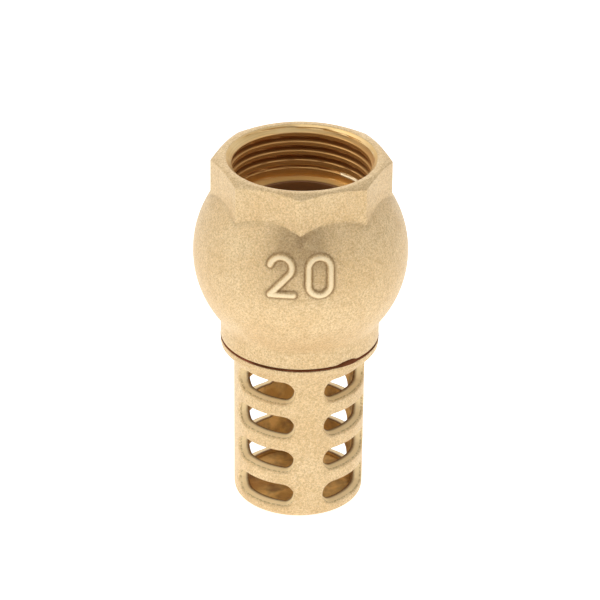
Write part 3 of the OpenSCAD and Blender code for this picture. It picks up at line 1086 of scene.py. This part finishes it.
def make_stem():
    """The stem: threaded lower end, collar on the disc, and polished guide length."""
    low, high = stem_low.z, stem_high.z
    collar_r = stem_high.x
    shank = rounded_outline([
        (stem_thread_r, disc_high.z - 0.01, 0),
        (collar_r, disc_high.z - 0.01, 0.1),
        (collar_r, disc_high.z + 1.2, 0.25),
        (stem_r, disc_high.z + 1.2, 0.3),
        (stem_r, high - 0.5, 0.15),
        (stem_r - 0.5, high, 0.15),
        (0.5, high, 0),
        (0, high, 0),
        (0, low, 0),
    ])

    def outline(angle):
        tip = [(0.5, low), (stem_thread_r - 0.5, low)]
        thread = [(min(stem_radius(angle, z), stem_thread_r - 0.5 + z - low), z)
                  for z in spaced(low + 0.06, disc_low.z, 0.07)]
        return tip + thread + shank

    points, faces = lathe_mesh(even_angles(72), outline)
    mesh_piece("stem", points, faces, "plunger", ["valve_stem"], [steel_turned])


def make_nut():
    """Hexagon nut with chamfered corners and a countersunk bore."""
    low, high = nut_low.z, nut_high.z
    apothem = min(nut_high.x, nut_high.y)
    bore = thread_hole_r

    def outline(angle):
        side = polygon_radius(angle, 6, apothem, 0.12)
        fall = (side - apothem + 0.15) * tan(radians(30))
        return [
            (bore + 0.35, low), (apothem - 0.15, low), (side - 0.02, low + fall - 0.02),
            (side, low + fall + 0.05), (side, (low + high) / 2), (side, high - fall - 0.05),
            (side - 0.02, high - fall + 0.02), (apothem - 0.15, high),
            (bore + 0.35, high), (bore, high - 0.35), (bore, low + 0.35),
        ]

    points, faces = lathe_mesh(even_angles(180), outline)
    mesh_piece("hex_nut", points, faces, "plunger", ["stem_nut"], [steel_turned])


def sweep(section, stations):
    """Points and faces of a closed section carried through stations, with both ends closed."""
    points, faces = [], []
    sides = len(section(stations[0]))
    for station in stations:
        points += section(station)
    for i in range(len(stations) - 1):
        for k in range(sides):
            here, side = i * sides + k, i * sides + (k + 1) % sides
            faces.append((here, here + sides, side + sides, side))
    faces.append(tuple(range(sides)))
    faces.append(tuple(reversed(range(len(points) - sides, len(points)))))
    return points, faces


def make_lock_washer():
    """Split spring washer, its ends cut on a slant."""
    low, high, rim = lock_low.z, lock_high.z, lock_high.x
    hole = stem_thread_r + 0.15
    corners = [(hole, low, 0.08), (rim, low, 0.08), (rim, high, 0.08), (hole, high, 0.08)]
    outline = rounded_outline(corners)
    split = asin(0.42 / ((rim + hole) / 2))

    def section(angle):
        slant = 0.12 * cos(angle / 2)
        return [around(r, angle + slant * (z - low) / (high - low), z) for r, z in outline]

    steps = 120
    stations = [split + (TAU - 2 * split) * i / steps for i in range(steps + 1)]
    points, faces = sweep(section, stations)
    mesh_piece(
        "split_washer", points, faces, "plunger", ["lock_washer"], [steel_turned]
    )


def make_spring():
    """The closing spring: a helix with closed and ground ends."""
    wire, wire_sides = 0.6, 14
    middle_r = spring_high.x - wire / 2
    low, high = spring_low.z, spring_high.z
    turns, end_pitch = 5, 1.06 * wire
    free_pitch = (high - low - wire - 2 * end_pitch) / (turns - 2)

    def section(turn):
        free = min(max(turn - 1, 0), turns - 2)
        rise = end_pitch * (min(turn, 1) + max(turn - turns + 1, 0)) + free_pitch * free
        ring = []
        for a in even_angles(wire_sides):
            r = middle_r + wire / 2 * cos(a)
            z = low + wire / 2 + rise + wire / 2 * sin(a)
            z = min(max(z, low + 0.06), high - 0.06)
            ring.append(around(r, TAU * turn, z))
        return ring

    steps = 64 * turns
    points, faces = sweep(section, [turns * i / steps for i in range(steps + 1)])
    piece = mesh_piece(
        "return_spring", points, faces, "housing", ["closing_spring"], [steel_wire]
    )
    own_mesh(piece)


def finish_guide_ring():
    """Breaks the sharp edges of the retaining ring, which keeps its CAD shape."""
    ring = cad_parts["guide_ring"]
    for place in ring.material_slots:
        place.material = steel_turned
    bevel = ring.modifiers.new("edges", "BEVEL")
    bevel.width = 0.06 * MM
    bevel.segments = 2


# ---- camera, light and floor


def aim(thing, target, roll=0.0):
    """Turns a camera or light at target, then rolls it about its line of sight."""
    away = Vector(thing.location) - Vector(target)
    thing.rotation_mode = "QUATERNION"
    turn = Matrix.Rotation(roll, 3, "Z").to_quaternion()
    thing.rotation_quaternion = away.to_track_quat("Z", "Y") @ turn


def make_camera():
    """A long lens from the front, 28 degrees above the horizon."""
    distance, elevation, roll = 0.7, radians(28.06), radians(0.658)
    target = Vector((0, 0, 0.03788))
    lens = bpy.data.cameras.new("camera")
    lens.lens = 238.94
    lens.sensor_width = 36
    lens.clip_start = 0.01
    lens.clip_end = 20
    camera = add_object("camera", lens)
    camera.location = target + distance * Vector((0, -cos(elevation), sin(elevation)))
    aim(camera, target, roll)
    bpy.context.scene.camera = camera


def make_softbox(name, azimuth, elevation, distance, size, power):
    """A large square area light aimed at the valve."""
    light = bpy.data.lights.new(name, "AREA")
    light.shape = "SQUARE"
    light.size = size
    light.energy = power
    lamp = add_object(name, light)
    a, e = radians(azimuth), radians(elevation)
    back = Vector((sin(a) * cos(e), -cos(a) * cos(e), sin(e)))
    target = Vector((0, 0, 0.03))
    lamp.location = back * distance + target
    aim(lamp, target)


def make_world():
    """A pale studio: dark high behind the camera, brightest behind the valve, dimmer beside and above."""
    world = bpy.data.worlds.new("studio")
    bpy.context.scene.world = world
    n = Nodes(world)
    x, y, z = n.add("SeparateXYZ", Vector=n.direction).outputs
    high = n.spread(z, 0.06, 0.3)
    across = n.math("ABSOLUTE", x)
    front = n.times(n.spread(y, -0.1, -0.5), n.spread(across, 0.65, 0.4))
    shaded = n.times(n.spread(z, 0.45, 1.0, 1.1, 0.7), n.spread(x, 0.2, 0.8, 1.0, 0.85))
    back = n.times(n.spread(y, 0.1, 0.55), n.spread(across, 0.3, 0.65, 1.2, 0.4))
    shaded = n.times(shaded, n.math("MAXIMUM", back, 0.82))
    level = n.mix(n.times(high, front), shaded, colour(0.02, 0.02, 0.02))
    n.finish("Background", Color=level, Strength=1.0)


def make_floor():
    """A plain white floor under the valve, whose glow is weaker towards the sides."""
    half = 3.0
    mesh = bpy.data.meshes.new("floor")
    corners = [(-half, -half, 0), (half, -half, 0), (half, half, 0), (-half, half, 0)]
    mesh.from_pydata(corners, [], [(0, 1, 2, 3)])
    n = material_nodes("floor_paper")
    tone = n.mix(n.noise(3.0), colour(0.70, 0.70, 0.70), colour(0.74, 0.74, 0.74))
    beside = n.math("ABSOLUTE", n.add("SeparateXYZ", Vector=n.place).outputs["X"])
    strength = n.spread(beside, 0.06, 0.22, 0.8, 0.45)
    glow = {"Emission_Color": colour(1.0, 1.0, 1.0), "Emission_Strength": strength}
    mesh.materials.append(n.finish(Base_Color=tone, Roughness=0.9, **glow))
    floor = add_object("floor", mesh)


make_camera()
make_world()
make_floor()
make_softbox("key_left", -76, 38, 1.0, 0.7, 2.2)
make_softbox("fill_right", 56, 32, 1.1, 0.6, 1.1)
make_softbox("fill_front", 8, 7, 1.2, 0.8, 1.2)
make_softbox("fill_top", -10, 66, 1.1, 0.5, 1.2)
bpy.context.scene.view_settings.view_transform = "Standard"

make_upper_body()
make_strainer()
make_joint_ring()
make_spider()
make_bush()
make_disc()
make_seal()
make_clamp()
make_stem()
make_nut()
make_lock_washer()
make_spring()
finish_guide_ring()
